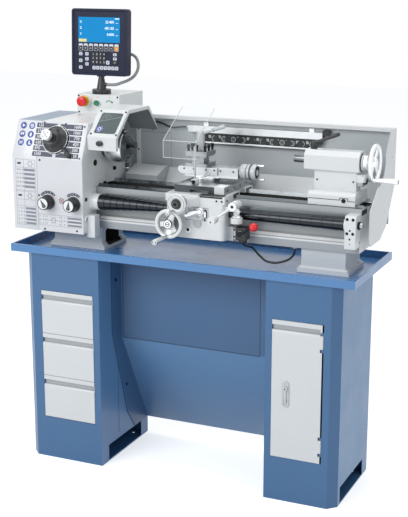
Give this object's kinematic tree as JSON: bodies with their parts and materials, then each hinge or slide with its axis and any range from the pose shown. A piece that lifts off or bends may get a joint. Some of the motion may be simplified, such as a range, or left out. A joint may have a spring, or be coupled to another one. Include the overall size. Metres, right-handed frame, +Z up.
{
  "type": "bench lathe",
  "caption": "Bench lathe on a steel cabinet stand, with a three-jaw chuck, gearbox, carriage, compound slide, tailstock, splash guard, chuck guard and swivelling digital readout.",
  "frame": {"origin": "on the floor, at the middle of the machine's length and depth", "axes": "+X along the bed toward the tailstock, +Y away from the operator, +Z up; the spindle axis lies in the plane Y = 0"},
  "size_m": [1.4923, 0.6393, 1.764],
  "materials": {
    "stand_paint": "smooth blue powder coat",
    "drawer_paint": "fine light grey powder coat",
    "machine_paint": "smooth light grey enamel",
    "guard_paint": "smooth light grey sheet",
    "panel_paint": "satin white",
    "cover_paint": "smooth blue grey",
    "bed_paint": "grey enamel on cast iron, ground ways",
    "ground_steel": "ground",
    "dark_steel": "machined, oiled",
    "satin_chrome": "satin",
    "black_plastic": "fine matt",
    "black_metal": "black oxide",
    "red_plastic": "gloss",
    "green_plastic": "gloss",
    "console": "satin",
    "clear_plastic": "clear",
    "window": "smoked",
    "motor_paint": "grey enamel",
    "aluminium": "satin anodised",
    "cable": "matt",
    "armour": "ribbed grey sheath"
  },
  "bodies": {
    "frame": {"cabinet_left": "stand_paint", "cabinet_right": "stand_paint", "rear_panel": "stand_paint", "chip_tray": "stand_paint", "bed": "bed_paint", "machine_bolts": "black_metal", "end_bracket": "machine_paint", "headstock": "machine_paint", "gearbox": "machine_paint", "front_panel": "panel_paint", "end_cover": "cover_paint", "motor": "motor_paint", "electrical_box": "panel_paint", "splash_guard": "guard_paint", "work_lamp": "aluminium", "lamp_cable": "cable"},
    "drawer_top": {"drawer_top": "drawer_paint"},
    "drawer_middle": {"drawer_middle": "drawer_paint"},
    "drawer_bottom": {"drawer_bottom": "drawer_paint"},
    "door": {"cabinet_door": "drawer_paint"},
    "latch": {"door_latch": "satin_chrome"},
    "spindle": {"spindle": "ground_steel", "chuck_body": "dark_steel"},
    "jaw_1": {"jaw_1": "ground_steel"},
    "jaw_2": {"jaw_2": "ground_steel"},
    "jaw_3": {"jaw_3": "ground_steel"},
    "guard": {"chuck_guard": "guard_paint", "guard_window": "window"},
    "speed_lever": {"speed_lever": "black_plastic"},
    "range_knob": {"range_knob": "satin_chrome"},
    "feed_knob_left": {"feed_knob_left": "black_plastic"},
    "feed_knob_right": {"feed_knob_right": "black_plastic"},
    "stop_button": {"stop_button": "red_plastic"},
    "start_button": {"start_button": "green_plastic"},
    "readout": {"readout_post": "black_plastic", "readout": "console", "readout_cable": "armour"},
    "leadscrew": {"leadscrew": "ground_steel"},
    "carriage": {"saddle": "machine_paint", "apron": "machine_paint", "thread_dial": "satin_chrome", "control_switch": "black_plastic", "screw_covers": "black_metal", "switch_cable": "cable"},
    "apron_wheel": {"apron_handwheel": "satin_chrome"},
    "half_nut_lever": {"half_nut_lever": "satin_chrome"},
    "feed_lever": {"feed_lever": "satin_chrome"},
    "control_lever": {"control_lever": "red_plastic"},
    "cross_slide": {"cross_slide": "ground_steel", "chip_shield": "clear_plastic"},
    "cross_wheel": {"cross_handwheel": "satin_chrome"},
    "compound": {"compound_base": "ground_steel"},
    "top_wheel": {"top_handwheel": "satin_chrome"},
    "top_slide": {"top_slide": "ground_steel"},
    "tool_post": {"tool_post": "dark_steel"},
    "post_lever": {"post_lever": "satin_chrome"},
    "tailstock": {"tailstock": "machine_paint"},
    "quill": {"quill": "ground_steel"},
    "tail_wheel": {"tail_handwheel": "satin_chrome"},
    "quill_lock": {"quill_lock": "black_plastic"}
  },
  "joints": [
    {"name": "drawer_top_slide", "type": "slide", "parent": "frame", "child": "drawer_top", "axis": [0, -1, 0], "range_m": [0, 0.3]},
    {"name": "drawer_middle_slide", "type": "slide", "parent": "frame", "child": "drawer_middle", "axis": [0, -1, 0], "range_m": [0, 0.3]},
    {"name": "drawer_bottom_slide", "type": "slide", "parent": "frame", "child": "drawer_bottom", "axis": [0, -1, 0], "range_m": [0, 0.3]},
    {"name": "door_hinge", "type": "hinge", "parent": "frame", "child": "door", "pos_m": [0.546, -0.226, 0.4365], "axis": [0, 0, 1], "range_deg": [0, 105]},
    {"name": "latch_turn", "type": "hinge", "parent": "door", "child": "latch", "pos_m": [0.412, -0.228, 0.423], "axis": [0, -1, 0], "range_deg": [0, 90]},
    {"name": "spindle_turn", "type": "hinge", "parent": "frame", "child": "spindle", "pos_m": [-0.42, 0, 1.2495], "axis": [1, 0, 0], "continuous": true},
    {"name": "jaw_1_slide", "type": "slide", "parent": "spindle", "child": "jaw_1", "axis": [0, -0.5, 0.866], "range_m": [-0.008, 0.015]},
    {"name": "jaw_2_slide", "type": "slide", "parent": "spindle", "child": "jaw_2", "axis": [0, -0.5, -0.866], "range_m": [-0.008, 0.015]},
    {"name": "jaw_3_slide", "type": "slide", "parent": "spindle", "child": "jaw_3", "axis": [0, 1, 0], "range_m": [-0.008, 0.015]},
    {"name": "guard_hinge", "type": "hinge", "parent": "frame", "child": "guard", "pos_m": [-0.42, 0.08, 1.3715], "axis": [-1, 0, 0], "range_deg": [0, 50]},
    {"name": "speed_lever_turn", "type": "hinge", "parent": "frame", "child": "speed_lever", "pos_m": [-0.56, -0.16679, 1.2825], "axis": [0, -0.9237, 0.3832], "range_deg": [-50, 50]},
    {"name": "range_knob_turn", "type": "hinge", "parent": "frame", "child": "range_knob", "pos_m": [-0.56, -0.16679, 1.2825], "axis": [0, -0.9237, 0.3832], "range_deg": [-60, 60]},
    {"name": "feed_knob_left_turn", "type": "hinge", "parent": "frame", "child": "feed_knob_left", "pos_m": [-0.587, -0.2, 1.0445], "axis": [0, -1, 0], "range_deg": [-60, 60]},
    {"name": "feed_knob_right_turn", "type": "hinge", "parent": "frame", "child": "feed_knob_right", "pos_m": [-0.474, -0.2, 1.0445], "axis": [0, -1, 0], "range_deg": [-60, 60]},
    {"name": "stop_button_push", "type": "slide", "parent": "frame", "child": "stop_button", "axis": [0, 1, 0], "range_m": [0, 0.006], "stiffness_N_per_m": 400},
    {"name": "start_button_push", "type": "slide", "parent": "frame", "child": "start_button", "axis": [0, 1, 0], "range_m": [0, 0.004], "stiffness_N_per_m": 300},
    {"name": "readout_swivel", "type": "hinge", "parent": "frame", "child": "readout", "pos_m": [-0.534, 0.15, 1.44], "axis": [0, 0, 1], "range_deg": [-60, 60]},
    {"name": "leadscrew_turn", "type": "hinge", "parent": "frame", "child": "leadscrew", "pos_m": [0, -0.12, 1.0465], "axis": [1, 0, 0], "continuous": true},
    {"name": "carriage_slide", "type": "slide", "parent": "frame", "child": "carriage", "axis": [1, 0, 0], "range_m": [-0.16, 0.15], "deforming": ["screw_covers", "switch_cable"]},
    {"name": "apron_wheel_turn", "type": "hinge", "parent": "carriage", "child": "apron_wheel", "pos_m": [-0.062, -0.2, 1.0095], "axis": [0, 1, 0], "range_deg": [-1850, 1740]},
    {"name": "half_nut_turn", "type": "hinge", "parent": "carriage", "child": "half_nut_lever", "pos_m": [0.186, -0.19, 1.0915], "axis": [0, 1, 0], "range_deg": [-14, 14]},
    {"name": "feed_lever_turn", "type": "hinge", "parent": "carriage", "child": "feed_lever", "pos_m": [0.052, -0.18, 1.0595], "axis": [0, 1, 0], "range_deg": [-20, 20]},
    {"name": "control_lever_turn", "type": "hinge", "parent": "carriage", "child": "control_lever", "pos_m": [0.204, -0.174, 0.9865], "axis": [0, 1, 0], "range_deg": [-14, 14]},
    {"name": "cross_wheel_turn", "type": "hinge", "parent": "carriage", "child": "cross_wheel", "pos_m": [-0.014, -0.23, 1.0945], "axis": [0, 1, 0], "range_deg": [-13504, 1444]},
    {"name": "cross_slide_travel", "type": "slide", "parent": "carriage", "child": "cross_slide", "axis": [0, 1, 0], "range_m": [-0.075, 0.008]},
    {"name": "compound_swivel", "type": "hinge", "parent": "cross_slide", "child": "compound", "pos_m": [-0.006, 0, 1.15], "axis": [0, 0, 1], "range_deg": [-45, 45]},
    {"name": "top_wheel_turn", "type": "hinge", "parent": "compound", "child": "top_wheel", "pos_m": [0.16, 0, 1.1845], "axis": [1, 0, 0], "range_deg": [-10804, 4]},
    {"name": "top_slide_travel", "type": "slide", "parent": "compound", "child": "top_slide", "axis": [1, 0, 0], "range_m": [-0.06, 0]},
    {"name": "tool_post_turn", "type": "hinge", "parent": "top_slide", "child": "tool_post", "pos_m": [-0.03, 0, 1.22], "axis": [0, 0, 1], "range_deg": [-90, 90]},
    {"name": "post_lever_turn", "type": "hinge", "parent": "top_slide", "child": "post_lever", "pos_m": [-0.03, 0, 1.3], "axis": [0, 0, 1], "range_deg": [0, 60]},
    {"name": "tailstock_slide", "type": "slide", "parent": "frame", "child": "tailstock", "axis": [1, 0, 0], "range_m": [-0.1, 0.02]},
    {"name": "tail_wheel_turn", "type": "hinge", "parent": "tailstock", "child": "tail_wheel", "pos_m": [0.64, 0, 1.2495], "axis": [1, 0, 0], "range_deg": [-4800, 5400]},
    {"name": "quill_travel", "type": "slide", "parent": "tailstock", "child": "quill", "axis": [1, 0, 0], "range_m": [-0.0401, 0.0451]},
    {"name": "quill_lock_turn", "type": "hinge", "parent": "tailstock", "child": "quill_lock", "pos_m": [0.421, 0, 1.3], "axis": [0, 0, 1], "range_deg": [-20, 50]}
  ],
  "couplings": [
    {"joint": "jaw_2_slide", "follows": "jaw_1_slide", "ratio": 1},
    {"joint": "jaw_3_slide", "follows": "jaw_1_slide", "ratio": 1},
    {"joint": "apron_wheel_turn", "follows": "carriage_slide", "rad_per_m": 200},
    {"joint": "cross_wheel_turn", "follows": "cross_slide_travel", "rad_per_m": 3141.6},
    {"joint": "top_wheel_turn", "follows": "top_slide_travel", "rad_per_m": 3141.6},
    {"joint": "quill_travel", "follows": "tail_wheel_turn", "m_per_rad": 0.00047746}
  ]
}
